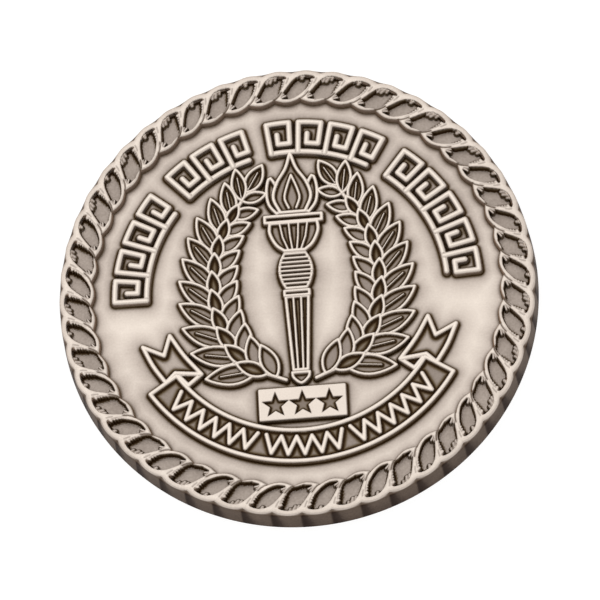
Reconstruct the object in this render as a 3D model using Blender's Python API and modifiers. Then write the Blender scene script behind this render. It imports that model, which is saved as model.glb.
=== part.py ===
"""Challenge coin: a struck metal coin with a rope border, an emblem and a banner.

The coin lies flat with its obverse up (+Z) and its design upright along +Y.  The origin is the
centre of the reverse rim's resting plane.  Lengths below are millimetres; MM turns them to metres.
Every struck feature is its own closed solid, and SEAM keeps each one just clear of its neighbours.
"""

import math

import bmesh
import bpy

MM = 0.001

# Driving dimensions
DIAMETER = 44.45
THICKNESS = 3.1
ROPE_RELIEF = 0.8          # rope line tops above the obverse field
DESIGN_RELIEF = 0.6        # emblem, legend and banner tops above the obverse field
REVERSE_RELIEF = 0.8       # reverse rim above the reverse field
SEAM = 0.03                # clearance between neighbouring solids

# Levels, upward from the resting plane
FIELD_Z = THICKNESS - ROPE_RELIEF
REVERSE_FIELD_Z = REVERSE_RELIEF
DESIGN_Z = FIELD_Z + DESIGN_RELIEF
PANEL_Z = FIELD_Z + 0.25   # sunk floor of the banner
ROPE_FLOOR_Z = FIELD_Z + 0.5
BASE_Z = FIELD_Z + SEAM    # underside of whatever stands on the obverse field
ROUND_WALL_Z = 1.3         # the side wall's flutes have faded out at this level
REVERSE_LOW_Z = 0.3        # lowest face of the reverse ring and laurel

# Rope border
RADIUS = DIAMETER / 2
STRANDS = 50
OUTER_NOTCH = 21.78        # radius at the notch between two strands
OUTER_LOBE = 0.32          # how far a strand swells past its notches
INNER_NOTCH = 19.23
INNER_LOBE = 0.36
ROPE_SKEW = 5.1            # degrees that a strand's outer end trails its inner end
ROPE_PHASE = 2.1           # degrees from +X to the first outer notch
LOBE_STEPS = 4             # straight runs in a strand's scallop
BED_NOTCH_SHARE = 0.65     # how much of the notches' depth reaches the rope's bed
BLANK_NOTCH_SHARE = 0.35   # and the blank's upper edge
CELL_MARGIN = 0.12         # rope line left at each end of a strand's opening
CELL_SHARE = 0.62          # an opening's widest part, as a share of a strand's pitch
CELL_TAPER = 0.12          # the smaller, the more pointed an opening's ends
CELL_STEPS = 3             # straight runs along each side of an opening

# Legend band, upper half of the coin
LEGEND_INNER = 13.75
LEGEND_OUTER = 17.15
LEGEND_STROKE = 0.42
LEGEND_GROUPS = (4, 3, 4, 5)
LEGEND_UNIT = 10.3         # degrees for one key of the fret
LEGEND_GAP = 5.0           # degrees between groups
FRET_REACH = 0.78          # width of one key, as a share of its unit
FRET_HOOK = 2.0            # from a key's left side to its hook, in strokes
FRET_LEDGE = 2.1           # from the band's inner edge to the hook's ledge, in strokes
FRET_UPTURN = 2.6          # height of the hook above its ledge, in strokes

# Banner, lower third of the coin
BANNER_INNER = 13.5
BANNER_OUTER = 16.88
BANNER_END = 32.4          # degrees below the horizontal at each end
BANNER_LINE = 0.42
BANNER_STEPS = 26          # straight runs in each of the banner's arcs
ZIGZAG_GROUPS = (6, 5, 6)
ZIGZAG_UNIT = 5.6          # degrees for one rise and fall
ZIGZAG_GAP = 3.2           # degrees between groups
ZIGZAG_HEIGHT = 1.7
ZIGZAG_STROKE = 0.38
TAIL_PATH = ((14.67, -4.3), (12.62, -5.2), (11.93, -3.38), (9.23, -7.3))   # swallow tail, +X side
TAIL_ROOT_RADIUS = 15.0    # where the tail's outer edge meets the panel
TAIL_CLEARANCE = 0.3       # degrees between the tail and the end of the panel
FOLD_DEGREES = (35.5, 37.5, 39.5)   # below the horizontal, where the fold meets the panel

# Plaque
PLAQUE_HALF_WIDTH = 4.05
PLAQUE_TOP = -9.47
PLAQUE_BOTTOM = -12.6
PLAQUE_STAR = 1.3
PLAQUE_STAR_SPACING = 2.5
PLAQUE_STAR_DROP = 0.1     # a star's visual centre lies above the middle of its box
STAR_WAIST = 0.42          # inner corners of a star, as a share of its radius

# Torch: half outlines on the +X side, from the top of each piece to its bottom
FLAME = ((0.0, 13.9), (0.55, 12.5), (1.2, 11.4), (1.3, 10.6), (1.9, 11.5), (2.3, 10.0), (2.1, 8.6),
         (1.4, 7.75))
BOWL = ((2.8, 7.7), (2.8, 6.9), (2.35, 6.7), (2.15, 5.6), (1.55, 4.5), (0.95, 3.9))
GRIP = ((1.15, 3.85), (1.55, 2.9), (1.6, 1.7), (1.2, 0.2))
SHAFT = ((1.3, 0.15), (1.3, -0.45), (1.1, -0.5), (0.72, -7.9))
FINIAL = ((0.95, -7.95), (0.95, -8.35), (0.6, -8.6), (0.25, -9.2))

# Laurel branches: the stem's path on the +X side, and its leaves
STEM_PATH = ((1.4, -8.7), (4.3, -7.3), (6.6, -4.2), (7.6, 0.4), (6.9, 5.4), (4.2, 10.2))
STEM_WIDTH = 0.5
LEAF_PAIRS = 12
LEAF_TAPER = 0.4           # how much shorter the last leaves are than the first
OUTER_LEAF = (4.4, 1.4, 43.0)    # length, width and angle to the stem
INNER_LEAF = (3.2, 0.92, 47.0)
TIP_LEAF = (0.6, 0.7)      # length and width of the last leaf, as shares of an outer leaf's

# Reverse
REVERSE_RIM_INNER = 20.3
REVERSE_RING_RADIUS = 18.9
REVERSE_RING_WIDTH = 0.5
REVERSE_STAR_RADIUS = 7.2
REVERSE_STAR_EDGE = 0.15   # height of the star's upright edge
REVERSE_STAR_APEX_Z = 0.12
REVERSE_STEM_RADIUS = 13.4
REVERSE_STEM_DEGREES = (-82, -55, -28, 0, 28, 55, 66)
REVERSE_LEAF_PAIRS = 13
REVERSE_LEAF_TAPER = 0.2
REVERSE_OUTER_LEAF = (3.9, 1.4, 38.0)
REVERSE_INNER_LEAF = (3.5, 1.2, 34.0)
RIM_CHAMFER = 0.15
RIM_STEPS = 80
RING_STEPS = 60

ANTIQUE_NICKEL = (0.80, 0.74, 0.66)
SATIN_FIELD = (0.66, 0.60, 0.54)
DARK_FLOOR = (0.36, 0.32, 0.29)
EDGE_METAL = (0.24, 0.21, 0.20)


# ---------------------------------------------------------------- scene and helpers

def clear_scene():
    for old in list(bpy.data.objects):
        bpy.data.objects.remove(old, do_unlink=True)


def make_material(name, color, roughness):
    material = bpy.data.materials.new(name)
    material.use_nodes = True
    shader = material.node_tree.nodes["Principled BSDF"]
    shader.inputs["Base Color"].default_value = (*color, 1.0)
    shader.inputs["Roughness"].default_value = roughness
    shader.inputs["Metallic"].default_value = 1.0
    material.diffuse_color = (*color, 1.0)
    return material


def add_object(name, data, color, roughness=0.4):
    data.materials.append(make_material(name + "_metal", color, roughness))
    obj = bpy.data.objects.new(name, data)
    PARTS.objects.link(obj)
    return obj


def polar(radius, degrees):
    angle = math.radians(degrees)
    return (radius * math.cos(angle), radius * math.sin(angle))


def plate(name, outlines, low, high, color, roughness=0.4):
    """A flat plate: the first outline is its edge, the others are openings through it."""
    curve = bpy.data.curves.new(name, "CURVE")
    curve.dimensions = "2D"
    curve.fill_mode = "BOTH"
    curve.extrude = (high - low) / 2 * MM
    for outline in outlines:
        spline = curve.splines.new("POLY")
        spline.points.add(len(outline) - 1)
        for point, (x, y) in zip(spline.points, outline):
            point.co = (x * MM, y * MM, 0.0, 1.0)
        spline.use_cyclic_u = True
    obj = add_object(name, curve, color, roughness)
    obj.location.z = (low + high) / 2 * MM
    return obj


def turned(name, profile, steps, color, roughness=0.4):
    """A ring turned about Z from a closed profile of (radius, z), listed outer side first."""
    mesh = bpy.data.meshes.new(name)
    form = bmesh.new()
    corners = [form.verts.new((radius * MM, 0.0, z * MM)) for radius, z in profile]
    for corner, following in zip(corners, corners[1:] + corners[:1]):
        form.edges.new((corner, following))
    form.to_mesh(mesh)
    form.free()
    obj = add_object(name, mesh, color, roughness)
    screw = obj.modifiers.new("turn", "SCREW")
    screw.steps = steps
    screw.render_steps = steps
    screw.use_merge_vertices = True
    screw.merge_threshold = 0.000001
    return obj


def mirrored(outline):
    return [(-x, y) for x, y in outline]


# ---------------------------------------------------------------- blank and rope border

def wall_radius(degrees, notch_share):
    """Radius of the side wall; notch_share is 1 at the obverse edge and 0 where the wall is round."""
    lobe = abs(math.sin(math.radians(degrees * STRANDS / 2)))
    fluted = OUTER_NOTCH + OUTER_LOBE * lobe
    return RADIUS + (fluted - RADIUS) * notch_share


def wall_outline(notch_share):
    count = STRANDS * LOBE_STEPS
    return [polar(wall_radius(360 * i / count, notch_share), 360 * i / count + ROPE_PHASE)
            for i in range(count)]


def inner_outline():
    count = STRANDS * LOBE_STEPS
    outline = []
    for i in range(count):
        degrees = 360 * i / count
        lobe = abs(math.sin(math.radians(degrees * STRANDS / 2)))
        outline.append(polar(INNER_NOTCH - INNER_LOBE * lobe, degrees + ROPE_PHASE + ROPE_SKEW))
    return outline


def coin_blank():
    """The struck disc.  Its wall is a loft from a faintly fluted upper edge to a round lower edge."""
    mesh = bpy.data.meshes.new("coin_blank")
    form = bmesh.new()
    rings = []
    levels = ((BLANK_NOTCH_SHARE, FIELD_Z), (0.0, ROUND_WALL_Z), (0.0, REVERSE_FIELD_Z))
    for notch_share, z in levels:
        rings.append([form.verts.new((x * MM, y * MM, z * MM)) for x, y in wall_outline(notch_share)])
    for upper, lower in zip(rings, rings[1:]):
        for i, corner in enumerate(upper):
            j = (i + 1) % len(upper)
            form.faces.new((corner, lower[i], lower[j], upper[j]))
    form.faces.new(rings[0])
    form.faces.new(reversed(rings[-1]))
    form.to_mesh(mesh)
    form.free()
    mesh.shade_smooth()
    mesh.set_sharp_from_angle(angle=math.radians(30))
    add_object("coin_blank", mesh, SATIN_FIELD, 0.35)


def strand_cell(index):
    """Outline of the sunk floor inside one rope strand: a leaf with its outer end trailing."""
    middle = 360 * (index + 0.5) / STRANDS + ROPE_PHASE
    low, high = INNER_NOTCH + CELL_MARGIN, OUTER_NOTCH - CELL_MARGIN
    half_width = CELL_SHARE * 360 / STRANDS / 2
    sides = ([], [])
    for i in range(CELL_STEPS + 1):
        share = i / CELL_STEPS
        radius = low + (high - low) * share
        centre = middle + ROPE_SKEW * (1 - share)
        spread = half_width * math.sin(math.pi * (CELL_TAPER + (1 - 2 * CELL_TAPER) * share))
        sides[0].append(polar(radius, centre + spread))
        sides[1].append(polar(radius, centre - spread))
    return sides[0] + sides[1][::-1]


def rope_border():
    plate("rope_bed", [wall_outline(BED_NOTCH_SHARE), inner_outline()], BASE_Z, ROPE_FLOOR_Z,
          DARK_FLOOR, 0.7)
    cells = [strand_cell(index) for index in range(STRANDS)]
    plate("rope_lines", [wall_outline(1.0), inner_outline()] + cells,
          ROPE_FLOOR_Z + SEAM, THICKNESS, ANTIQUE_NICKEL)


# ---------------------------------------------------------------- legend

def fret_outline(start, units):
    """One raised Greek-key segment, running clockwise from the angle `start`."""
    height = LEGEND_OUTER - LEGEND_INNER
    length = math.radians(LEGEND_UNIT) * (LEGEND_INNER + LEGEND_OUTER) / 2
    stroke = LEGEND_STROKE
    reach = FRET_REACH * length
    hook = FRET_HOOK * stroke
    ledge = FRET_LEDGE * stroke
    upturn = ledge + FRET_UPTURN * stroke

    def place(x, y):
        return polar(LEGEND_INNER + y, start - x / length * LEGEND_UNIT)

    outline = []
    for unit in range(units):
        x = unit * length
        key = [(0, stroke if unit else 0), (0, height), (reach / 2, height), (reach, height),
               (reach, ledge), (hook, ledge), (hook, upturn), (hook + stroke, upturn),
               (hook + stroke, ledge + stroke), (reach - stroke, ledge + stroke),
               (reach - stroke, height - stroke), (reach / 2, height - stroke),
               (stroke, height - stroke), (stroke, stroke), (length / 2, stroke)]
        outline += [place(x + dx, y) for dx, y in key]
    end = units * length - (length - reach)
    outline[-1] = place(end - reach / 2, stroke)
    outline.append(place(end, stroke))
    steps = 2 * units
    outline += [place(end * (1 - i / steps), 0) for i in range(steps)]
    return outline


def legend():
    start = 180.0
    for number, units in enumerate(LEGEND_GROUPS, 1):
        plate(f"legend_fret_{number}", [fret_outline(start, units)], BASE_Z, DESIGN_Z, ANTIQUE_NICKEL)
        start -= units * LEGEND_UNIT + LEGEND_GAP


# ---------------------------------------------------------------- emblem

def curve_points(path, count):
    """Evenly spaced (x, y, heading) along a Catmull-Rom curve through the path."""
    ends = [tuple(2 * a - b for a, b in zip(path[0], path[1]))]
    tail = [tuple(2 * a - b for a, b in zip(path[-1], path[-2]))]
    knots = ends + list(path) + tail
    fine = []
    steps = 40
    for p0, p1, p2, p3 in zip(knots, knots[1:], knots[2:], knots[3:]):
        for i in range(steps):
            t = i / steps
            fine.append(tuple(0.5 * (2 * b + (c - a) * t + (2 * a - 5 * b + 4 * c - d) * t * t
                                     + (3 * b - a - 3 * c + d) * t ** 3)
                              for a, b, c, d in zip(p0, p1, p2, p3)))
    fine.append(tuple(path[-1]))
    lengths = [0.0]
    for a, b in zip(fine, fine[1:]):
        lengths.append(lengths[-1] + math.dist(a, b))
    points = []
    for i in range(count):
        target = lengths[-1] * i / (count - 1)
        k = max(1, next(n for n, length in enumerate(lengths) if length >= target - 1e-9))
        share = (target - lengths[k - 1]) / (lengths[k] - lengths[k - 1])
        (x0, y0), (x1, y1) = fine[k - 1], fine[k]
        points.append((x0 + (x1 - x0) * share, y0 + (y1 - y0) * share, math.atan2(y1 - y0, x1 - x0)))
    return points


def leaf(root, heading, length, width):
    """Leaf outline from the left of its root, round the tip, to the right of its root."""
    shares = ((0.0, 0.20), (0.22, 0.72), (0.5, 1.0), (0.78, 0.66), (1.0, 0.0),
              (0.78, -0.66), (0.5, -1.0), (0.22, -0.72), (0.0, -0.20))
    along = (math.cos(heading), math.sin(heading))
    outline = []
    for forward, sideways in shares:
        a, s = forward * length, sideways * width / 2
        outline.append((root[0] + along[0] * a - along[1] * s, root[1] + along[1] * a + along[0] * s))
    return outline


def branch_outline(path, pairs, outer_leaf, inner_leaf, taper):
    """One closed outline of a stem with leaves on both sides and a leaf at its tip."""
    nodes = curve_points(path, pairs * 2 + 1)
    sides = ([], [])
    half = STEM_WIDTH / 2
    for i, (x, y, heading) in enumerate(nodes[:-1]):
        size = 1.0 - taper * (i / len(nodes)) ** 2
        for side, sign, (length, width, angle) in zip(sides, (1, -1), (inner_leaf, outer_leaf)):
            edge = (x - sign * math.sin(heading) * half, y + sign * math.cos(heading) * half)
            bare = i % 2 == 0 or (i == 1 and sign < 0)
            if bare:
                side.append(edge)
                continue
            turned_heading = heading + sign * math.radians(angle)
            blade = leaf(edge, turned_heading, length * size, width * size)
            side += blade if sign > 0 else blade[::-1]
    tip = leaf(nodes[-1][:2], nodes[-1][2], outer_leaf[0] * TIP_LEAF[0], outer_leaf[1] * TIP_LEAF[1])
    return sides[1] + tip[::-1] + sides[0][::-1]


def laurels():
    outline = branch_outline(STEM_PATH, LEAF_PAIRS, OUTER_LEAF, INNER_LEAF, LEAF_TAPER)
    plate("laurel_right", [outline], BASE_Z, DESIGN_Z, ANTIQUE_NICKEL)
    plate("laurel_left", [mirrored(outline)], BASE_Z, DESIGN_Z, ANTIQUE_NICKEL)


def symmetric(half):
    """Full outline from its +X half, listed from the top of the centre line to the bottom."""
    return list(half) + [(-x, y) for x, y in reversed(half) if x > 0]


def torch():
    pieces = {"flame": FLAME, "bowl": BOWL, "grip": GRIP, "shaft": SHAFT, "finial": FINIAL}
    for name, half in pieces.items():
        plate(f"torch_{name}", [symmetric(half)], BASE_Z, DESIGN_Z, ANTIQUE_NICKEL)


# ---------------------------------------------------------------- plaque and banner

def star(cx, cy, radius, points=5):
    outline = []
    for i in range(2 * points):
        x, y = polar(radius if i % 2 == 0 else radius * STAR_WAIST, 90 + 180 * i / points)
        outline.append((cx + x, cy + y))
    return outline


def plaque():
    width, top, bottom = PLAQUE_HALF_WIDTH, PLAQUE_TOP, PLAQUE_BOTTOM
    edge = [(-width, top), (width, top), (width, bottom), (-width, bottom)]
    middle = (top + bottom) / 2 - PLAQUE_STAR_DROP
    stars = [star(side * PLAQUE_STAR_SPACING, middle, PLAQUE_STAR) for side in (-1, 0, 1)]
    plate("plaque", [edge] + stars, BASE_Z, DESIGN_Z, ANTIQUE_NICKEL)


def arc_band(inner, outer, first, last, steps):
    degrees = [first + (last - first) * i / steps for i in range(steps + 1)]
    return [polar(outer, a) for a in degrees] + [polar(inner, a) for a in reversed(degrees)]


def zigzag(first, units):
    """A raised zigzag line with flattened peaks, midway between the banner's border lines."""
    middle = (BANNER_INNER + BANNER_OUTER) / 2
    run = math.radians(ZIGZAG_UNIT / 2) * middle
    slope = math.atan2(ZIGZAG_HEIGHT, run)
    shift = ZIGZAG_STROKE / 2 / math.cos(slope)
    flat = ZIGZAG_STROKE / 2
    clip = (shift - flat) / math.tan(slope) / middle
    upper, lower = [], []
    for i in range(2 * units + 1):
        degrees = first + ZIGZAG_UNIT / 2 * i
        rise = 1 if i % 2 else -1
        radius = middle + rise * ZIGZAG_HEIGHT / 2
        crown, hollow = (upper, lower) if rise > 0 else (lower, upper)
        crown.append(polar(radius + rise * flat, degrees - math.degrees(clip)))
        crown.append(polar(radius + rise * flat, degrees + math.degrees(clip)))
        hollow.append(polar(radius - rise * shift, degrees))
    return upper + lower[::-1]


def banner():
    first, last = 180 + BANNER_END, 360 - BANNER_END
    edge = arc_band(BANNER_INNER, BANNER_OUTER, first, last, BANNER_STEPS)
    inset = math.degrees(BANNER_LINE / BANNER_OUTER)
    opening = arc_band(BANNER_INNER + BANNER_LINE, BANNER_OUTER - BANNER_LINE,
                       first + inset, last - inset, BANNER_STEPS)
    plate("banner_panel", [edge], BASE_Z, PANEL_Z, DARK_FLOOR, 0.7)
    plate("banner_border", [edge, opening], PANEL_Z + SEAM, DESIGN_Z, ANTIQUE_NICKEL)
    span = sum(ZIGZAG_GROUPS) * ZIGZAG_UNIT + (len(ZIGZAG_GROUPS) - 1) * ZIGZAG_GAP
    start = 270 - span / 2
    for number, units in enumerate(ZIGZAG_GROUPS, 1):
        plate(f"banner_zigzag_{number}", [zigzag(start, units)], PANEL_Z + SEAM, DESIGN_Z,
              ANTIQUE_NICKEL)
        start += units * ZIGZAG_UNIT + ZIGZAG_GAP
    foot_radius = BANNER_INNER - 2 * SEAM
    root = TAIL_CLEARANCE - BANNER_END
    corner = polar(foot_radius, root)
    tail = list(TAIL_PATH) + [corner, polar(TAIL_ROOT_RADIUS, root)]
    fold_x, fold_y = TAIL_PATH[-1]
    fold = [(fold_x + 3 * SEAM, fold_y - 3 * SEAM), (corner[0], corner[1] - 2 * SEAM)]
    fold += [polar(foot_radius, -degrees) for degrees in FOLD_DEGREES]
    for side, place in (("right", list), ("left", mirrored)):
        plate(f"banner_tail_{side}", [place(tail)], BASE_Z, DESIGN_Z, ANTIQUE_NICKEL)
        plate(f"banner_fold_{side}", [place(fold)], BASE_Z, PANEL_Z, DARK_FLOOR, 0.7)


# ---------------------------------------------------------------- reverse

def reverse_face():
    top = REVERSE_FIELD_Z - SEAM
    rim = [(RADIUS, top), (RADIUS, RIM_CHAMFER), (RADIUS - RIM_CHAMFER, 0.0), (REVERSE_RIM_INNER, 0.0),
           (REVERSE_RIM_INNER - RIM_CHAMFER, top)]
    turned("reverse_rim", rim, RIM_STEPS, EDGE_METAL)
    ring_outer = REVERSE_RING_RADIUS + REVERSE_RING_WIDTH / 2
    ring_inner = REVERSE_RING_RADIUS - REVERSE_RING_WIDTH / 2
    ring = [(ring_outer, top), (ring_outer, REVERSE_LOW_Z), (ring_inner, REVERSE_LOW_Z), (ring_inner, top)]
    turned("reverse_ring", ring, RING_STEPS, ANTIQUE_NICKEL)

    path = [polar(REVERSE_STEM_RADIUS, degrees) for degrees in REVERSE_STEM_DEGREES]
    outline = branch_outline(path, REVERSE_LEAF_PAIRS, REVERSE_OUTER_LEAF, REVERSE_INNER_LEAF,
                             REVERSE_LEAF_TAPER)
    plate("reverse_laurel_left", [outline], REVERSE_LOW_Z, top, ANTIQUE_NICKEL)
    plate("reverse_laurel_right", [mirrored(outline)], REVERSE_LOW_Z, top, ANTIQUE_NICKEL)
    faceted_star("reverse_star", REVERSE_STAR_RADIUS, top, top - REVERSE_STAR_EDGE, REVERSE_STAR_APEX_Z)


def faceted_star(name, radius, base_z, edge_z, apex_z):
    """A five-point star with a ridge down each arm, pointing down from the reverse field."""
    mesh = bpy.data.meshes.new(name)
    form = bmesh.new()
    outline = star(0.0, 0.0, radius)
    base = [form.verts.new((x * MM, y * MM, base_z * MM)) for x, y in outline]
    edge = [form.verts.new((x * MM, y * MM, edge_z * MM)) for x, y in outline]
    apex = form.verts.new((0.0, 0.0, apex_z * MM))
    form.faces.new(base)
    for i in range(len(base)):
        j = (i + 1) % len(base)
        form.faces.new((base[i], edge[i], edge[j], base[j]))
        form.faces.new((edge[i], apex, edge[j]))
    bmesh.ops.recalc_face_normals(form, faces=form.faces)
    form.to_mesh(mesh)
    form.free()
    add_object(name, mesh, ANTIQUE_NICKEL, 0.3)


clear_scene()
PARTS = bpy.data.collections.new("challenge_coin")
bpy.context.scene.collection.children.link(PARTS)
coin_blank()
rope_border()
legend()
laurels()
torch()
plaque()
banner()
reverse_face()
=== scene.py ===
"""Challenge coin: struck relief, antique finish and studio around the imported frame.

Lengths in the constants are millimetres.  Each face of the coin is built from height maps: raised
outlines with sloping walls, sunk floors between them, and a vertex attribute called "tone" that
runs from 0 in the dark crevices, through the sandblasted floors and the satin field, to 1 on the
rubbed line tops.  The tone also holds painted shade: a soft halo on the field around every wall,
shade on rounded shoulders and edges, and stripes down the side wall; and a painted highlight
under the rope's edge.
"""
import math

import bpy
import numpy as np
from mathutils import Matrix, Vector


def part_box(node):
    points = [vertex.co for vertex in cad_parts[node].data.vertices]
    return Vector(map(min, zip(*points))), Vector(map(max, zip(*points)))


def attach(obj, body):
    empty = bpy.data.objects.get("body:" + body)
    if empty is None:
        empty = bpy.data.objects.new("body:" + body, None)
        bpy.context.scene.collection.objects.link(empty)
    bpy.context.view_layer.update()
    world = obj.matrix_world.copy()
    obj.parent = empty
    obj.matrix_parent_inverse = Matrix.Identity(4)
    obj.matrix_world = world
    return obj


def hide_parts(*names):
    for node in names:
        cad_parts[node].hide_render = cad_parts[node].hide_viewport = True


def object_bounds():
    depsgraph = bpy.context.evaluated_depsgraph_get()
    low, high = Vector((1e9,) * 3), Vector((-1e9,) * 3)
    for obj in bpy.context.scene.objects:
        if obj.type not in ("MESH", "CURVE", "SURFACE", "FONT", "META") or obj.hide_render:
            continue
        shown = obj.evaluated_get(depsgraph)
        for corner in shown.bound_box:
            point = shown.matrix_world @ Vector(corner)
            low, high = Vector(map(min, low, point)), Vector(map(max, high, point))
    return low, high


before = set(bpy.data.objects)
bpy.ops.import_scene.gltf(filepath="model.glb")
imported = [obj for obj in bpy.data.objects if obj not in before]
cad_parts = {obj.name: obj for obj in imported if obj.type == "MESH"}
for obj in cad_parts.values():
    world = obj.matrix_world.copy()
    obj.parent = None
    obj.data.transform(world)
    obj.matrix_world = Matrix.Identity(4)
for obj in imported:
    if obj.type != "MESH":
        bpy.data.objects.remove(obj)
CAD_LOW, CAD_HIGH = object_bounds()

MM = 0.001

# ---------------------------------------------------------------- sizes, read from the frame
RADIUS = (CAD_HIGH.x - CAD_LOW.x) / 2 / MM
THICKNESS = (CAD_HIGH.z - CAD_LOW.z) / MM
FIELD_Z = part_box("coin_blank")[1].z / MM
REVERSE_FIELD_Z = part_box("coin_blank")[0].z / MM
DESIGN_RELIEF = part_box("plaque")[1].z / MM - FIELD_Z
ROPE_RELIEF = THICKNESS - FIELD_Z

# ---------------------------------------------------------------- relief
INNER_WALL = 0.09          # width of the slope from a line down to a sunk floor
OUTER_WALL = 0.13          # width of the slope from a line down to the field
FLOOR_HEIGHT = 0.26        # sunk floors above the field
CROWN = 0.04               # how far a line's edges lie below its middle
CREVICE = 0.13             # how fast the oxide in a corner fades across a floor
WALL_FADE = 1.4            # the smaller, the more of a wall stays bright
OBVERSE_STEP = 0.05        # spacing of the height maps
REVERSE_STEP = 0.06
SKIRT_STEPS = 1.6          # how far a map goes on beyond the foot of a wall, in steps
NOTHING = -9.0             # height where a relief has no surface
FAR = 1e9                  # further than anything on the coin
TINY = 1e-12

# Rope border: the notches between its strands, and how far the strands' ends bulge past them
STRANDS = 50
OUTER_NOTCH, OUTER_LOBE = 21.78, 0.28
INNER_NOTCH, INNER_LOBE = 19.23, 0.36
ROPE_SKEW = 5.1            # degrees between a strand's two ends
ROPE_PHASE = 2.1           # degrees to the first outer notch

# Legend: a band of Greek keys, with its units and gaps in degrees
LEGEND_INNER, LEGEND_OUTER = 13.75, 17.15
LEGEND_GROUPS = (4, 3, 4, 5)
LEGEND_UNIT, LEGEND_GAP = 10.3, 5.0
LEGEND_STROKE = 0.42       # a key's lines run half a stroke inside its outline
FRET_REACH = 0.78          # width of a key, as a share of its unit
FRET_HOOK = 2.45           # from a key's left side to its hook, in strokes
FRET_LEDGE = 2.55          # from the base line to the hook's ledge, in strokes
FRET_UPTURN = 2.3          # height of the hook above its ledge, in strokes
LEGEND_STYLE = {"closed": False, "half": 0.25, "outer_wall": 0.15, "crown": 0.08, "fade": 0.65}

# Plaque
PLAQUE_HALF = 0.12
MARK_SPACING = 2.5
MARK_RADIUS = 1.32
MARK_DROP = 0.1            # how far the marks sit below the plate's middle
MARK_WALL = 0.08
STAR_POINTS = 5
STAR_WAIST = 0.42          # radius of a star's inner corners, as a share of its points'

# Banner: the panel's radii and the degrees from the horizontal to its ends
BANNER_INNER, BANNER_OUTER = 13.5, 16.88
BANNER_END = 32.4
BANNER_HALF = 0.19         # half width of the banner's border lines
BANNER_STEPS = 56
TAIL_STEPS = 9
ZIGZAG_GROUPS = (6, 5, 6)
ZIGZAG_UNIT, ZIGZAG_GAP = 5.6, 3.2
ZIGZAG_HEIGHT = 1.7
ZIGZAG_HALF = 0.185

# Laurel: leaves as (length, width, degrees off the stem)
STEM_PATH = ((1.4, -8.7), (4.3, -7.3), (6.6, -4.2), (7.6, 0.4), (6.9, 5.4), (4.2, 10.2))
LEAF_PAIRS = 12
LEAF_TAPER = 0.4           # how much smaller the leaves at the tip are
OUTER_LEAF = (4.9, 1.95, 40.0)
INNER_LEAF = (3.5, 1.55, 46.0)
MIDDLE_LEAF = (3.1, 1.35)
TIP_LENGTH, TIP_WIDTH = 0.62, 0.75      # the leaf at the tip, as shares of an outer leaf
STEM_HALF, LEAF_HALF, RIB_HALF = 0.16, 0.125, 0.05
DARK_LEAF_CREVICE = 0.34   # the oxide reaches further across the small leaves along the stem

# ---------------------------------------------------------------- tones
TONE_FLOOR = 0.53
TONE_FIELD = 0.965
TONE_FOOT = 0.05           # at the foot of a wall
WALL_TONE = 0.62           # at its upper edge
SHOULDER_SHADE = 0.30      # what a line's edges lose against its middle: oxide and painted shade of their rounding
PLATE_TONE = 0.92
MARK_TONE = 0.46

# What the field loses beside a wall: a dark line of oxide at its foot, and a wide soft halo of painted
# shade
FOOT_LINE, FOOT_SHADE_HALO = 0.54, 0.37
RIM_LINE, RIM_SHADE_HALO = 0.28, 0.32         # the same along the rope, and the rim of the reverse
LINE_WIDTH, HALO_WIDTH = 0.15, 1.2
HALO_END = 3.0


def polar(radius, degrees):
    angle = math.radians(degrees)
    return (radius * math.cos(angle), radius * math.sin(angle))


def arc(radius, first, last, steps):
    return [polar(radius, first + (last - first) * i / steps) for i in range(steps + 1)]


def mirrored(path):
    return [(-x, y) for x, y in path]


def field_tone(gap, line, halo):
    """Tone of the field at a distance from a wall's foot: a dark oxide line, and a wide soft halo of
    painted shade.
    """
    return TONE_FIELD - line * np.exp(-(gap / LINE_WIDTH) ** 1.5) - halo * np.exp(-gap / HALO_WIDTH)


def top_tone(edge, half):
    """Tone across a raised line: bright along its middle, browner at its shoulders, with oxide and
    painted shade.
    """
    return 1 - SHOULDER_SHADE * np.clip(1 + edge / half, 0, 1) ** 2.5


def wall_tone(slope, fade):
    """Tone down a wall: the larger the fade, the higher up it turns dark."""
    return WALL_TONE * (1 - slope) ** fade + TONE_FOOT * slope


def floor_shade(tone, beyond, reach):
    """Tone of a sunk floor, near black in the corner at its wall's foot."""
    return TONE_FOOT + (tone - TONE_FOOT) * (1 - np.exp(-(beyond / reach) ** 2))


def distance_to(x, y, path, closed):
    """Distance from every (x, y) to a path, and the unit direction that leads away from it."""
    corners = np.asarray(path, float)
    ends = np.roll(corners, -1, axis=0) if closed else corners[1:]
    starts = corners if closed else corners[:-1]
    best = np.full(x.shape, FAR)
    away_x, away_y = np.zeros(x.shape), np.zeros(x.shape)
    for (ax, ay), (bx, by) in zip(starts, ends):
        ux, uy = bx - ax, by - ay
        share = np.clip(((x - ax) * ux + (y - ay) * uy) / max(ux * ux + uy * uy, TINY), 0, 1)
        ex, ey = x - ax - share * ux, y - ay - share * uy
        square = ex * ex + ey * ey
        nearer = square < best
        best = np.where(nearer, square, best)
        away_x, away_y = np.where(nearer, ex, away_x), np.where(nearer, ey, away_y)
    gap = np.sqrt(best)
    scale = 1 / np.maximum(gap, TINY)
    return gap, away_x * scale, away_y * scale


def inside(x, y, outline):
    """True for every (x, y) within a closed outline, by counting crossings."""
    odd = np.zeros(x.shape, bool)
    for (ax, ay), (bx, by) in zip(outline, outline[1:] + outline[:1]):
        if ay == by:
            continue
        crosses = ((ay > y) != (by > y)) & (x < (bx - ax) * (y - ay) / (by - ay) + ax)
        odd ^= crosses
    return odd


# ---------------------------------------------------------------- meshes

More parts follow.
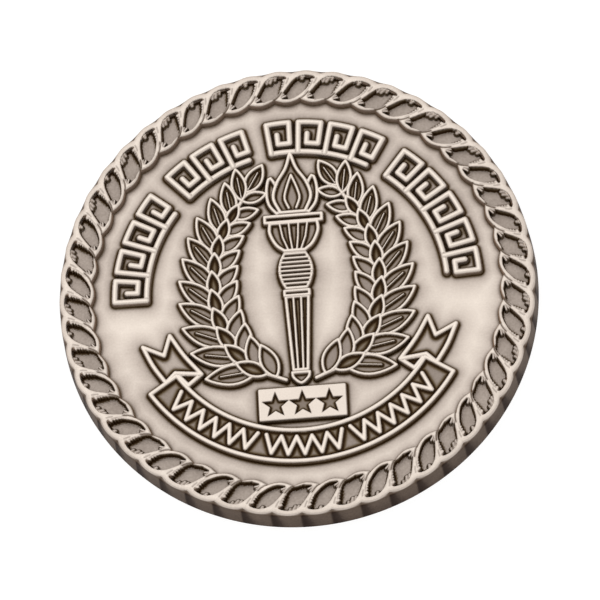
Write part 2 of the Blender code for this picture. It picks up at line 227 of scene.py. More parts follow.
def grid_quads(keep, wrap=False):
    """Faces of a grid of points, rows by columns, wherever all four corners are kept."""
    index = np.arange(keep.size).reshape(keep.shape)
    if wrap:
        index = np.hstack([index, index[:, :1]])
        keep = np.hstack([keep, keep[:, :1]])
    low, high = slice(None, -1), slice(1, None)
    quads = np.stack([index[low, low], index[low, high], index[high, high], index[high, low]], -1)
    whole = keep[low, low] & keep[low, high] & keep[high, high] & keep[high, low]
    return quads[whole]


def build_piece(name, points, quads, tone, material, slot, *nodes):
    """Makes a mesh object from points in millimetres, and lets it stand for the CAD nodes."""
    used, compact = np.unique(quads, return_inverse=True)
    points, tone = points[used], tone[used]
    quads = compact.reshape(quads.shape).astype(np.int32)
    mesh = bpy.data.meshes.new(name)
    mesh.vertices.add(len(points))
    mesh.vertices.foreach_set("co", (points * MM).astype(np.float32).ravel())
    mesh.loops.add(quads.size)
    mesh.loops.foreach_set("vertex_index", quads.ravel())
    mesh.polygons.add(len(quads))
    mesh.polygons.foreach_set("loop_start", np.arange(0, quads.size, 4, dtype=np.int32))
    mesh.update(calc_edges=True)
    mesh.shade_smooth()
    layer = mesh.attributes.new("tone", "FLOAT", "POINT")
    layer.data.foreach_set("value", np.clip(tone, 0, 1).astype(np.float32))
    mesh.materials.append(material)
    piece = bpy.data.objects.new(name, mesh)
    bpy.context.scene.collection.objects.link(piece)
    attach(piece, "root")
    if nodes:
        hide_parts(*nodes)


class Relief:
    """A height map over a rectangle, painted shape by shape with the front shapes last."""

    shadows = []           # every outline painted on this face, for the field's halo of painted shade

    def __init__(self, low, high, step=OBVERSE_STEP):
        self.step = step
        self.x, self.y = np.meshgrid(np.arange(low[0], high[0], step), np.arange(low[1], high[1], step))
        self.z = np.full(self.x.shape, NOTHING)
        self.tone = np.zeros(self.x.shape)
        self.move_x, self.move_y = np.zeros(self.x.shape), np.zeros(self.x.shape)

    def window(self, path, margin):
        """Rows and columns of the map that lie within a margin of a path."""
        corners = np.asarray(path) - (self.x[0, 0], self.y[0, 0])
        first = (corners.min(axis=0) - margin) / self.step
        last = (corners.max(axis=0) + margin) / self.step
        return tuple(slice(max(int(a), 0), max(int(b) + 2, 0)) for a, b in zip(first[::-1], last[::-1]))

    def paint(self, outline, half, closed=True, lines=(), floor=FLOOR_HEIGHT,
              floor_tone=TONE_FLOOR, outer_wall=OUTER_WALL, crown=CROWN, crevice=CREVICE,
              fade=WALL_FADE):
        """Adds a shape with a raised outline, a sunk floor and raised lines on the floor."""
        skirt = SKIRT_STEPS * self.step
        spot = self.window(outline, half + outer_wall + skirt + self.step)
        x, y = self.x[spot], self.y[spot]
        away, away_x, away_y = distance_to(x, y, outline, closed)
        signed = np.where(inside(x, y, outline), -away, away) if closed else away
        within = signed < half
        edge = away - half
        width = np.full(x.shape, half)
        for path, path_half in lines:
            gap, gap_x, gap_y = distance_to(x, y, path, False)
            nearer = within & (gap - path_half < edge)
            edge = np.where(nearer, gap - path_half, edge)
            width = np.where(nearer, path_half, width)
            away_x, away_y = np.where(nearer, gap_x, away_x), np.where(nearer, gap_y, away_y)
        foot = np.where(within, INNER_WALL, outer_wall)
        pull = np.where(np.abs(edge) < self.step / 2, -edge, 0.0)
        pull = np.where(within & (np.abs(edge - foot) < self.step / 2), foot - edge, pull)
        edge = edge + pull
        slope = np.clip(edge / foot, 0, 1)
        shoulder = DESIGN_RELIEF - crown
        z = DESIGN_RELIEF - crown * np.clip(1 + edge / width, 0, 1) ** 2
        z = np.where(within, z + (floor - shoulder) * slope, z - shoulder * np.maximum(edge / foot, 0))
        beyond = np.maximum(edge - foot, 0)
        ground = np.where(within, floor_shade(floor_tone, beyond, crevice), TONE_FOOT)
        ground = np.where(slope < 1, wall_tone(slope, fade), ground)
        tone = np.where(edge < 0, top_tone(edge, width), ground)
        reached = within | ((edge < outer_wall + skirt) & (z > self.z[spot]))
        for layer, values in ((self.z, z), (self.tone, tone), (self.move_x, pull * away_x),
                              (self.move_y, pull * away_y)):
            layer[spot] = np.where(reached, values, layer[spot])
        Relief.shadows.append((outline, closed, half + outer_wall))

    def build(self, name, material, *nodes, reverse=False):
        """Makes the piece on the obverse's field, or upside down on the reverse's."""
        quads = grid_quads(self.z > NOTHING)
        z = REVERSE_FIELD_Z - self.z if reverse else FIELD_Z + self.z
        points = np.stack([self.x + self.move_x, self.y + self.move_y, z], -1).reshape(-1, 3)
        if reverse:
            quads = quads[:, ::-1]
        build_piece(name, points, quads, self.tone.ravel(), material, "raised_metal", *nodes)


# ---------------------------------------------------------------- materials

CREVICE_COLOR = (0.014, 0.0045, 0.001)
FLOOR_COLOR = (0.290, 0.240, 0.206)
FIELD_COLOR = (0.508, 0.438, 0.384)
TOP_COLOR = (0.708, 0.629, 0.554)
RELIEF_OXIDE = ((0.039, 0.019, 0.006), (0.144, 0.104, 0.060))   # thick and thin oxide
EDGE_OXIDE = ((0.034, 0.019, 0.012), (0.126, 0.089, 0.065))
BROWN_TINT = (1.0, 0.68, 0.42, 1)
NO_TINT = (1.0, 1.0, 1.0, 1)

# Patterns as (scale, detail)
BLOTCHES, SPECKLES, CLOUDS, GRAINS = (450, 4), (5200, 3), (170, 5), (9000, 2)
STREAKS, STREAK_STRETCH, STREAK_TURN = (900, 4), (1, 14, 1), 38
BUMP_DEPTH = 0.00002


def ramp_between(nodes, links, value, stops):
    """Colour of a value between (place, colour) stops."""
    ramp = nodes.new("ShaderNodeValToRGB")
    ramp.color_ramp.interpolation = "LINEAR"
    while len(ramp.color_ramp.elements) < len(stops):
        ramp.color_ramp.elements.new(0.5)
    for element, (place, color) in zip(ramp.color_ramp.elements, stops):
        element.position = place
        element.color = (*color, 1.0)
    links.new(value, ramp.inputs["Fac"])
    return ramp.outputs["Color"]


def struck_metal(name, brushed=0.0, grain=0.4, wear=0.05, cloud=0.0, sheen=0.2, tint=BROWN_TINT,
                 oxide=RELIEF_OXIDE):
    """Antique nickel: dark oxide in the crevices, sandblasted floors, satin field, bright tops."""
    material = bpy.data.materials.new(name)
    material.use_nodes = True
    nodes, links = material.node_tree.nodes, material.node_tree.links
    shader = nodes["Principled BSDF"]
    place = nodes.new("ShaderNodeTexCoord")

    def noise(scale, detail, stretch=(1, 1, 1), turn=0.0):
        """Noise around zero."""
        mapping = nodes.new("ShaderNodeMapping")
        mapping.inputs["Scale"].default_value = stretch
        mapping.inputs["Rotation"].default_value = (0, 0, math.radians(turn))
        links.new(place.outputs["Object"], mapping.inputs["Vector"])
        texture = nodes.new("ShaderNodeTexNoise")
        texture.inputs["Scale"].default_value = scale
        texture.inputs["Detail"].default_value = detail
        links.new(mapping.outputs["Vector"], texture.inputs["Vector"])
        return math_node("SUBTRACT", texture.outputs["Fac"], 0.5)

    def math_node(operation, first, second):
        node = nodes.new("ShaderNodeMath")
        node.operation = operation
        for socket, value in zip(node.inputs, (first, second)):
            if isinstance(value, (int, float)):
                socket.default_value = value
            else:
                links.new(value, socket)
        return node.outputs["Value"]

    def remapped(value, low, high, low_result, high_result):
        node = nodes.new("ShaderNodeMapRange")
        node.inputs["From Min"].default_value = low
        node.inputs["From Max"].default_value = high
        node.inputs["To Min"].default_value = low_result
        node.inputs["To Max"].default_value = high_result
        links.new(value, node.inputs["Value"])
        return node.outputs["Result"]

    tone = nodes.new("ShaderNodeAttribute")
    tone.attribute_name = "tone"
    streaks = noise(*STREAKS, STREAK_STRETCH, STREAK_TURN)
    varied = tone.outputs["Fac"]
    for pattern, strength in ((noise(*BLOTCHES), wear * 1.6), (noise(*SPECKLES), wear * 1.8),
                              (noise(*CLOUDS), cloud), (streaks, brushed * 0.12)):
        varied = math_node("ADD", varied, math_node("MULTIPLY", pattern, strength))
    color = ramp_between(nodes, links, varied, (
        (0.0, CREVICE_COLOR), (0.14, oxide[0]), (0.30, oxide[1]),
        (0.50, FLOOR_COLOR), (0.75, FIELD_COLOR), (1.0, TOP_COLOR)))
    rough = remapped(varied, 0.3, 1.0, 0.62, 0.38)
    rough = math_node("ADD", rough, math_node("MULTIPLY", streaks, brushed * 0.15))
    metallic = remapped(tone.outputs["Fac"], 0.05, 0.45, 0.2, 1.0)
    bump = nodes.new("ShaderNodeBump")
    bump.inputs["Strength"].default_value = grain
    bump.inputs["Distance"].default_value = BUMP_DEPTH
    surface = math_node("ADD", noise(*GRAINS), math_node("MULTIPLY", streaks, brushed * 1.5))
    links.new(surface, bump.inputs["Height"])
    links.new(color, shader.inputs["Base Color"])
    links.new(rough, shader.inputs["Roughness"])
    links.new(metallic, shader.inputs["Metallic"])
    links.new(bump.outputs["Normal"], shader.inputs["Normal"])
    shader.inputs["Specular IOR Level"].default_value = sheen
    shader.inputs["Specular Tint"].default_value = tint
    return material


# ---------------------------------------------------------------- rope border and side wall

ROPE_MIDDLE = 20.5         # radius where a strand's local millimetres are true
STRAND_COLUMNS = 56
STRAND_SNAP = 0.024        # points this near an opening's edge are moved onto it
RIDGE_DROP = 0.02          # ridges below the coin's full thickness
EDGE_ROUND, EDGE_DROP = 0.10, 0.09      # width and drop of the rounded outer edge
EDGE_CUT = 0.98            # where the rounded edge stops and the side wall takes over
LIP_ROUND, LIP_DROP = 0.14, 0.06        # the same for the inner edge
SUNK = 0.70                # depth of a strand's floor below its ridges
LUMP_CREST = 0.10          # height of a lump's middle above its sides
LUMP_FOOT = 0.6            # how far a lump's foot spreads, as a share of its radius
GROOVE_DEPTH = 0.10
STRAND_WALL = 0.07         # width of the slope into an opening
SPUR_WALL = 0.10           # how much wider it is beside the spur
RIM_WALL = 0.13            # how much wider it is along the outer edge

STRAND_TONE = 0.60         # the openings' floors
RIDGE_TONE = 0.92
RIDGE_SHADE = 0.26         # what a ridge loses at the edge of an opening: oxide and painted shade of its rounding
GROOVE_SHADE = 0.55
LUMP_TONE = 0.26           # at the side of a lump
EDGE_SHADE, LIP_SHADE = 0.11, 0.12      # what the ridges lose at the rope's outer edge, painted shade of its rounding, and at its inner lip

# The rope's inner wall, as (distance inward, share of its fall, tone)
ROPE_WALL = ((0.03, 0.12, 0.62), (0.06, 0.30, 0.52), (0.10, 0.60, 0.42), (0.13, 0.85, 0.30),
             (0.15, 1.0, 0.06))
ROPE_FOOT_SINK = 0.03      # how far its foot goes below the field

WALL_COLUMNS = 36
WALL_TOP = THICKNESS - RIDGE_DROP - EDGE_DROP * (1 - math.sqrt(1 - EDGE_CUT))
WALL_BOTTOM = 0.17         # where the rounded edge of the reverse takes over
WALL_TAPER = 0.15          # how much narrower the side wall is under the rope than at its foot
FLUTE_FADE = 0.14          # how fast the scallops fade below the rope's edge
FLUTE_REST = 0.06          # share of them that reaches down the whole wall
# Stripes of painted shade down the side wall under the notches, standing in for the shading of its
# flutes
STRIPE_LEFT, STRIPE_RIGHT = 0.05, 0.17  # widths of a stripe's sides, in strands
STRIPE_SPREAD = 0.14       # how much its right side widens downward
STRIPE_START, STRIPE_RUN = 0.12, 0.18   # where it begins below the edge, and its full strength
# Tone of the side wall, how much darker it grows towards its foot, and the painted shade of a stripe
EDGE_TONE, EDGE_FALL, STRIPE_SHADE = 0.27, 0.05, 0.22
GLOW, GLOW_FADE = 0.40, 0.10            # painted highlight: a bright line under the rope's edge
GLOW_GAP, GLOW_GAP_WIDTH = 0.8, 0.12    # what it loses at the notches

# One strand in (u, v): u runs across it from one outer notch to the next, v from the inner edge of
# the rope at 0 to the outer edge at 1.  Strands with a squarish and an oval opening alternate.  Each
# opening is ragged on its left, and holds lumps: frayed fibres, as (path, radius, depth).
SQUARE_OPENING = ((0.19, 0.87), (0.34, 0.875), (0.52, 0.865), (0.68, 0.845), (0.75, 0.75),
                  (0.79, 0.60), (0.81, 0.40), (0.83, 0.24), (0.81, 0.13), (0.72, 0.08), (0.55, 0.09),
                  (0.43, 0.07), (0.30, 0.085), (0.15, 0.08), (0.05, 0.05), (-0.03, 0.06),
                  (-0.055, 0.18), (-0.05, 0.30), (-0.005, 0.335), (-0.045, 0.38), (0.02, 0.44),
                  (-0.025, 0.475), (0.055, 0.535), (0.01, 0.575), (0.09, 0.615), (0.045, 0.65),
                  (0.10, 0.685), (0.13, 0.745), (0.03, 0.775), (0.035, 0.82), (0.12, 0.86))
OVAL_OPENING = ((0.18, 0.87), (0.30, 0.875), (0.45, 0.865), (0.60, 0.84), (0.70, 0.77),
                (0.77, 0.65), (0.80, 0.48), (0.815, 0.34), (0.83, 0.22), (0.81, 0.13), (0.72, 0.08),
                (0.56, 0.09), (0.43, 0.09), (0.28, 0.11), (0.15, 0.17), (0.06, 0.28), (0.02, 0.38),
                (0.045, 0.43), (0.015, 0.47), (0.075, 0.525), (0.025, 0.56), (0.10, 0.61),
                (0.05, 0.65), (0.11, 0.685), (0.14, 0.745), (0.04, 0.775), (0.045, 0.82), (0.12, 0.86))
LUMPS = ((((0.87, 0.05), (0.685, 0.20)), 0.12, 0.05), (((0.86, 0.08), (0.785, 0.25)), 0.10, 0.05),
         (((-0.02, 0.85), (0.125, 0.715)), 0.08, 0.08))
SQUARE_LUMPS = ((((0.47, 0.88), (0.43, 0.765)), 0.15, 0.24), (((0.59, 0.88), (0.56, 0.70)), 0.18, 0.20),
                (((0.71, 0.88), (0.68, 0.69)), 0.16, 0.16))
OVAL_LUMPS = ((((0.50, 0.88), (0.48, 0.765)), 0.18, 0.20), (((0.68, 0.87), (0.66, 0.79)), 0.12, 0.24))
GROOVES = ((((1.0, -0.02), (0.94, 0.06), (0.90, 0.17), (0.89, 0.29)), 0.10, 1.0),
           (((-0.03, 0.80), (-0.07, 0.70), (-0.085, 0.60)), 0.085, 0.45),
           (((0.035, 0.69), (-0.01, 0.60), (-0.04, 0.48)), 0.07, 0.40),
           (((0.96, 0.46), (0.945, 0.32), (0.955, 0.20)), 0.06, 0.30))


def lobe(phase):
    return np.abs(np.sin(math.pi * phase))


def rope_edges(phase):
    """Inner and outer radius of the rope at a phase across its strands."""
    return INNER_NOTCH - INNER_LOBE * lobe(phase), OUTER_NOTCH + OUTER_LOBE * lobe(phase)


def unrolled(u, v):
    """Millimetres along and across the rope for a place (u, v) on its strands."""
    inner, outer = rope_edges(u)
    around = ROPE_MIDDLE * np.radians(360 / STRANDS * u + ROPE_SKEW * (1 - v))
    return around, inner + v * (outer - inner) - INNER_NOTCH


def shifted(path, count):
    return [unrolled(u + count, v) for u, v in path]


def signed_distance(x, y, outline):
    """Distance to a closed outline, above zero within it, and the direction it grows in."""
    gap, away_x, away_y = distance_to(x, y, outline, True)
    side = np.where(inside(x, y, outline), 1.0, -1.0)
    return gap * side, away_x * side, away_y * side


def strand_pair(u, v):
    """Height below the ridges, tone and edge shift on one squarish and one oval strand."""
    x, y = unrolled(u, v)
    zero = np.zeros(x.shape)
    edge, away_x, away_y = zero - FAR, zero, zero
    lump, lump_depth, shine = zero - FAR, zero + SUNK, zero
    groove = zero
    for count in range(-1, 4):
        square = count % 2 == 0
        opening = shifted(SQUARE_OPENING if square else OVAL_OPENING, count)
        gap, gap_x, gap_y = signed_distance(x, y, opening)
        nearer = gap > edge
        edge = np.where(nearer, gap, edge)
        away_x, away_y = np.where(nearer, gap_x, away_x), np.where(nearer, gap_y, away_y)
        for path, radius, below in LUMPS + (SQUARE_LUMPS if square else OVAL_LUMPS):
            rise = 1 - distance_to(x, y, shifted(path, count), False)[0] / radius
            foot = np.clip(1 + rise / LUMP_FOOT, 0, 1)
            crest = LUMP_CREST * np.sqrt(np.clip(rise, 0, 1))
            top = SUNK + (below + LUMP_CREST - SUNK) * foot - crest
            lump_depth = np.minimum(lump_depth, top)
            shine = np.where(rise > lump, RIDGE_TONE - 0.9 * below, shine)
            lump = np.maximum(lump, rise)
        for path, width, strength in GROOVES:
            gap = distance_to(x, y, shifted(path, count), False)[0]
            groove = np.maximum(groove, strength * np.clip(1 - gap / width, 0, 1))
    across = u % 1
    left = np.clip((0.45 - across) / 0.3, 0, 1) * np.clip((v - 0.30) / 0.2, 0, 1)
    spur = np.clip((across - 0.68) / 0.08, 0, 1) * np.clip((v - 0.26) / 0.1, 0, 1) * (across < 0.9)
    outer = np.clip((v - 0.74) / 0.06, 0, 1)
    wall = STRAND_WALL + SPUR_WALL * spur + RIM_WALL * outer
    pull = np.where(np.abs(edge) < STRAND_SNAP, -edge, 0.0)
    edge = edge + pull
    slope = np.clip(edge / wall, 0, 1)
    groove = groove * (edge < 0)
    depth = np.minimum(SUNK * slope, lump_depth) + GROOVE_DEPTH * groove
    shoulder = np.exp(np.minimum(edge, 0) / 0.07)
    ridge = RIDGE_TONE - RIDGE_SHADE * shoulder * (1 - 0.7 * outer) - GROOVE_SHADE * groove
    ragged = 0.09 + 0.09 * left + 0.05 * np.sin(x * 21 + y * 9) * np.cos(y * 17 - x * 5)
    ground = floor_shade(STRAND_TONE, np.maximum(edge - wall, 0), ragged)
    sides = 0.50 * (1 - slope) ** (2.5 - 1.3 * spur) + 0.02
    hollow = np.where(slope < 1, sides, ground) * (1 - 0.8 * np.clip(1 + lump / 0.8, 0, 1))
    on_lump = LUMP_TONE + (shine - LUMP_TONE) * np.sqrt(np.clip(lump, 0, 1))
    hollow = np.where(lump > 0, np.maximum(on_lump, sides), hollow)
    hollow = np.maximum(hollow, RIDGE_TONE * outer * np.clip((0.78 - slope) / 0.22, 0, 1))
    return depth, np.where(edge < 0, ridge, hollow), pull * away_x, pull * away_y


def rope_rows():
    """Shares along a strand from its outer edge inward, closer together where openings end."""
    runs = ((1.0, 0.90, 5), (0.90, 0.50, 27), (0.50, 0.26, 8), (0.26, 0.0, 18))
    shares = [np.linspace(first, last, count, endpoint=False) for first, last, count in runs]
    return np.concatenate([*shares, [0.0]])


def rope_border(material):
    """The raised ring of strands, from its rounded outer edge down to the field inside it."""
    count = STRANDS * STRAND_COLUMNS
    pair = 2 * STRAND_COLUMNS
    rows = rope_rows()[:, None]
    u, v = np.broadcast_arrays(np.arange(pair)[None, :] / STRAND_COLUMNS, rows)
    depth, tone, move_x, move_y = strand_pair(u, v)
    inner, outer = rope_edges(u)
    radius = inner + v * (outer - inner)
    rim = np.clip(1 - (outer - radius) / EDGE_ROUND, 0, 1)
    lip = np.clip(1 - (radius - inner) / LIP_ROUND, 0, 1)
    height = ROPE_RELIEF - RIDGE_DROP - depth - EDGE_DROP * (1 - np.sqrt(1 - EDGE_CUT * rim ** 2))
    height = height - LIP_DROP * lip ** 2 + RIDGE_DROP * np.sin(math.pi * v)
    # painted shade where the ridges round over the rope's outer edge, and darker over its inner lip
    tone = tone - EDGE_SHADE * np.clip((v - 0.85) / 0.12, 0, 1) - LIP_SHADE * lip ** 2
    degrees = 360 / STRANDS * u + ROPE_SKEW * (1 - v) + np.degrees(move_x / ROPE_MIDDLE)
    radius = radius + move_y
    for inward, fall, shade in ROPE_WALL:
        radius = np.vstack([radius, inner[-1] - inward])
        height = np.vstack([height, height[-1] * (1 - fall) - (ROPE_FOOT_SINK if fall == 1 else 0)])
        tone = np.vstack([tone, np.full(tone[-1].shape, shade)])
        degrees = np.vstack([degrees, degrees[-1]])
    repeats = STRANDS // 2
    turn = np.repeat(np.arange(repeats) * 720 / STRANDS, pair)[None, :] + ROPE_PHASE
    angle = np.radians(np.tile(degrees, repeats) + turn)
    radius, height, tone = (np.tile(layer, repeats) for layer in (radius, height, tone))
    points = np.stack([radius * np.cos(angle), radius * np.sin(angle), FIELD_Z + height], -1)
    for name, node, first in (("far", "rope_lines", 0), ("near", "rope_bed", count // 2)):
        columns = np.arange(first, first + count // 2 + 1) % count
        quads = grid_quads(np.ones((len(radius), len(columns)), bool))
        build_piece(f"rope_border_{name}_relief", points[:, columns].reshape(-1, 3), quads,
                    tone[:, columns].ravel(), material, "raised_metal", node)


def rope_foot(degrees):
    """Radius of the foot of the rope's inner wall."""
    inner, _ = rope_edges((degrees - ROPE_PHASE - ROPE_SKEW) * STRANDS / 360)
    return inner - ROPE_WALL[-1][0]


def side_wall(material):
    """The dark side wall: scalloped under the rope's edge, with stripes of painted shade that widen
    downward, and a painted highlight under the edge.
    """
    count = STRANDS * WALL_COLUMNS
    phase = (np.arange(count) % WALL_COLUMNS) / WALL_COLUMNS
    _, fluted = rope_edges(phase)
    levels = np.concatenate([np.linspace(WALL_BOTTOM, 2.3, 12), np.linspace(2.4, WALL_TOP, 17)])[:, None]
    below = WALL_TOP - levels
    share = (1 - FLUTE_REST) * np.exp(-below / FLUTE_FADE) + FLUTE_REST * (1 - below / WALL_TOP) ** 2
    plain = RADIUS - WALL_TAPER * levels / WALL_TOP
    radius = plain + (fluted - plain) * share
    offset = (phase + 0.5) % 1 - 0.5
    width = np.where(offset < 0, STRIPE_LEFT, STRIPE_RIGHT + STRIPE_SPREAD * below / WALL_TOP)
    # painted shade of each flute: a stripe under its notch, narrow on the left and wide on the right
    flute_shade = np.exp(-(offset / width) ** 2) * np.clip((below - STRIPE_START) / STRIPE_RUN, 0, 1)
    # painted highlight along the top of the side wall, broken at the notches
    highlight_line = GLOW * np.exp(-(below / GLOW_FADE) ** 2)
    highlight_line = highlight_line * (1 - GLOW_GAP * np.exp(-(offset / GLOW_GAP_WIDTH) ** 2))
    tone = EDGE_TONE - EDGE_FALL * below / WALL_TOP - STRIPE_SHADE * flute_shade + highlight_line
    angle = np.radians(ROPE_PHASE + 360 * np.arange(count) / count)[None, :] + 0 * radius
    z = levels + 0 * radius
    points = np.stack([radius * np.cos(angle), radius * np.sin(angle), z], -1)
    quads = grid_quads(np.ones(radius.shape, bool), wrap=True)
    build_piece("fluted_side_wall", points.reshape(-1, 3), quads, tone.ravel(), material, "edge_metal")


# ---------------------------------------------------------------- emblem

def curve_points(path, count):
    """Evenly spaced (x, y, heading) along a Catmull-Rom curve through the path."""
    knots = [2 * np.array(path[0]) - path[1], *np.array(path), 2 * np.array(path[-1]) - path[-2]]
    fine = []
    for a, b, c, d in zip(knots, knots[1:], knots[2:], knots[3:]):
        for t in np.linspace(0, 1, 40, endpoint=False):
            fine.append(0.5 * (2 * b + (c - a) * t + (2 * a - 5 * b + 4 * c - d) * t ** 2
                               + (3 * b - a - 3 * c + d) * t ** 3))
    fine = np.array(fine + [knots[-2]])
    steps = np.hypot(*np.diff(fine, axis=0).T)
    length = np.concatenate([[0], np.cumsum(steps)])
    places = np.linspace(0, length[-1], count)
    x, y = np.interp(places, length, fine[:, 0]), np.interp(places, length, fine[:, 1])
    heading = np.arctan2(np.gradient(y), np.gradient(x))
    return list(zip(x, y, heading))


def leaf(root, heading, length, width):
    """Smooth pointed leaf outline, and its midrib."""
    along = np.array([math.cos(heading), math.sin(heading)])
    left = np.array([-along[1], along[0]])
    shares = np.linspace(0, 1, 11)
    spread = width / 2 * np.sin(math.pi * shares ** 0.9) ** 0.85
    one = [tuple(root + along * length * t + left * s) for t, s in zip(shares, spread)]
    other = [tuple(root + along * length * t - left * s) for t, s in zip(shares, spread)]
    rib = [tuple(root + along * length * t) for t in (0.1, 0.72)]
    return one + other[-2:0:-1], rib


def laurel(relief, path, pairs, outer_leaf, inner_leaf, middle_leaf, taper, flip=False):
    """Paints a branch from its tip back to its foot, so that the lower leaves lie in front."""
    place = mirrored if flip else list
    nodes = curve_points(path, pairs * 2 + 1)
    stem = [(x, y) for x, y, _ in nodes]
    relief.paint(place(stem), closed=False, half=STEM_HALF)

    def paint_leaf(root, heading, length, width, ribbed=False, crevice=CREVICE):
        outline, rib = leaf(np.array(root), heading, length, width)
        lines = [(place(rib), RIB_HALF)] if ribbed else ()
        relief.paint(place(outline), half=LEAF_HALF, lines=lines, crevice=crevice)

    x, y, heading = nodes[-1]
    paint_leaf((x, y), heading, outer_leaf[0] * TIP_LENGTH, outer_leaf[1] * TIP_WIDTH, ribbed=True)
    for i in range(len(nodes) - 2, 0, -1):
        x, y, heading = nodes[i]
        size = 1.0 - taper * (i / len(nodes)) ** 2
        if i % 2:
            for sign, (length, width, angle) in ((1, inner_leaf), (-1, outer_leaf)):
                if i == 1 and sign < 0:
                    continue
                turned = heading + sign * math.radians(angle)
                paint_leaf((x, y), turned, length * size, width * size, ribbed=sign < 0)
        elif i < len(nodes) - 3:
            length, width = middle_leaf
            paint_leaf((x, y), heading, length * size, width * size, crevice=DARK_LEAF_CREVICE)


def laurels(material):
    """The two branches of the emblem."""
    for name, flip in (("right", False), ("left", True)):
        low, high = (0.6, -10.6), (11.6, 13.6)
        if flip:
            low, high = (-high[0], low[1]), (-low[0], high[1])
        relief = Relief(low, high)
        laurel(relief, STEM_PATH, LEAF_PAIRS, OUTER_LEAF, INNER_LEAF, MIDDLE_LEAF, LEAF_TAPER, flip)
        relief.build(f"laurel_{name}_relief", material, f"laurel_{name}")


def symmetric(half):
    """A closed outline from its right half, which runs from the top down."""
    return half + [(-x, y) for x, y in reversed(half) if x > 0]


def smooth_outline(path, count):
    return [(x, y) for x, y, _ in curve_points(path, count)]


def torch(material):
    """Flame, bowl, ribbed grip, reeded shaft and finial."""
    relief = Relief((-3.6, -10.0), (3.6, 14.6))
    tongue = smooth_outline([(0.0, 13.85), (0.5, 12.3), (1.35, 10.9), (1.75, 9.4), (1.15, 7.9)], 24)
    for side in (1, -1):
        lick = [(1.0, 8.0), (0.75, 9.4), (1.35, 10.4), (2.0, 11.45), (2.35, 10.2), (2.2, 8.8),
                (1.5, 7.8)]
        relief.paint(smooth_outline([(side * x, y) for x, y in lick], 26), half=0.14)
    heart = smooth_outline([(0.0, 11.6), (0.45, 10.4), (0.7, 9.3), (0.35, 8.3)], 12)
    inner = heart[::-1] + mirrored(heart[1:])
    relief.paint(symmetric(tongue), half=0.15, lines=[(inner, 0.11)])
    relief.build("torch_flame_relief", material, "torch_flame")

    relief = Relief((-3.6, 3.0), (3.6, 8.4))
    body = smooth_outline([(2.2, 6.85), (2.25, 5.9), (1.7, 4.7), (0.95, 4.05)], 14)
    gadroons = [([(x, 6.8), (x * 0.82, 5.4), (x * 0.45, 4.1)], 0.09)
                for x in (-1.3, -0.45, 0.45, 1.3)]
    relief.paint(symmetric(body), half=0.15, lines=gadroons)
    rim = [(2.65, 7.55), (2.65, 6.95), (-2.65, 6.95), (-2.65, 7.55)]
    relief.paint(rim, half=0.15)
    relief.build("torch_bowl_relief", material, "torch_bowl")

    relief = Relief((-2.6, -0.4), (2.6, 4.6))
    barrel = smooth_outline([(0.95, 3.8), (1.35, 3.0), (1.5, 2.0), (1.3, 1.0), (0.95, 0.3)], 16)
    relief.paint(symmetric(barrel), half=0.12, floor_tone=0.2)
    for i in range(9):
        y = 0.35 + 0.42 * i
        reach = 0.95 + 0.6 * math.sin(math.pi * (y - 0.3) / 3.5)
        relief.paint([(-reach, y), (reach, y)], closed=False, half=0.10)
    relief.build("torch_grip_relief", material, "torch_grip")

    relief = Relief((-2.2, -8.6), (2.2, 0.9))
    taper = [(1.05, -0.55), (0.66, -7.8)]
    reeds = [([(x, -0.6), (x * 0.66, -7.8)], 0.10) for x in (-0.36, 0.36)]
    relief.paint(symmetric(taper), half=0.14, lines=reeds)
    relief.paint([(1.15, 0.05), (1.15, -0.42), (-1.15, -0.42), (-1.15, 0.05)], half=0.13)
    relief.build("torch_shaft_relief", material, "torch_shaft")

    relief = Relief((-1.8, -10.0), (1.8, -7.2))
    drop = smooth_outline([(0.8, -8.05), (0.72, -8.5), (0.3, -8.95), (0.0, -9.1)], 10)
    relief.paint(symmetric(drop), half=0.13)
    relief.build("torch_finial_relief", material, "torch_finial")


# ---------------------------------------------------------------- legend, plaque and banner

def legend(material):
    """Four groups of raised Greek keys on a common base line, with soft letter-like shoulders."""
    height = LEGEND_OUTER - LEGEND_INNER
    length = math.radians(LEGEND_UNIT) * (LEGEND_INNER + LEGEND_OUTER) / 2
    half = LEGEND_STROKE / 2
    reach = FRET_REACH * length - half
    hook, ledge = FRET_HOOK * LEGEND_STROKE - half, FRET_LEDGE * LEGEND_STROKE
    upturn = ledge + FRET_UPTURN * LEGEND_STROKE
    start = 180.0
    for number, units in enumerate(LEGEND_GROUPS, 1):
        span = units * LEGEND_UNIT
        sides = [arc(radius, start, start - span, 12) for radius in (LEGEND_OUTER, LEGEND_INNER)]
        corners = np.concatenate(sides)
        relief = Relief(corners.min(axis=0) - 0.8, corners.max(axis=0) + 0.8)

        def place(x, y):
            return polar(LEGEND_INNER + y, start - x / length * LEGEND_UNIT)

        end = units * length - (length - reach) + half
        steps = 4 * units
        base = [place(half + (end - 2 * half) * i / steps, half) for i in range(steps + 1)]
        relief.paint(base, **LEGEND_STYLE)
        for unit in range(units):
            x = unit * length + half
            key = [(0, half), *((reach * i / 4, height - half) for i in range(5)),
                   (reach, ledge), (hook, ledge), (hook, upturn)]
            relief.paint([place(x + dx, y) for dx, y in key], **LEGEND_STYLE)
        relief.build(f"legend_fret_{number}_relief", material, f"legend_fret_{number}")
        start -= span + LEGEND_GAP


def star(cx, cy, radius):
    outline = []
    for i in range(2 * STAR_POINTS):
        x, y = polar(radius if i % 2 == 0 else radius * STAR_WAIST, 90 + 180 * i / STAR_POINTS)
        outline.append((cx + x, cy + y))
    return outline


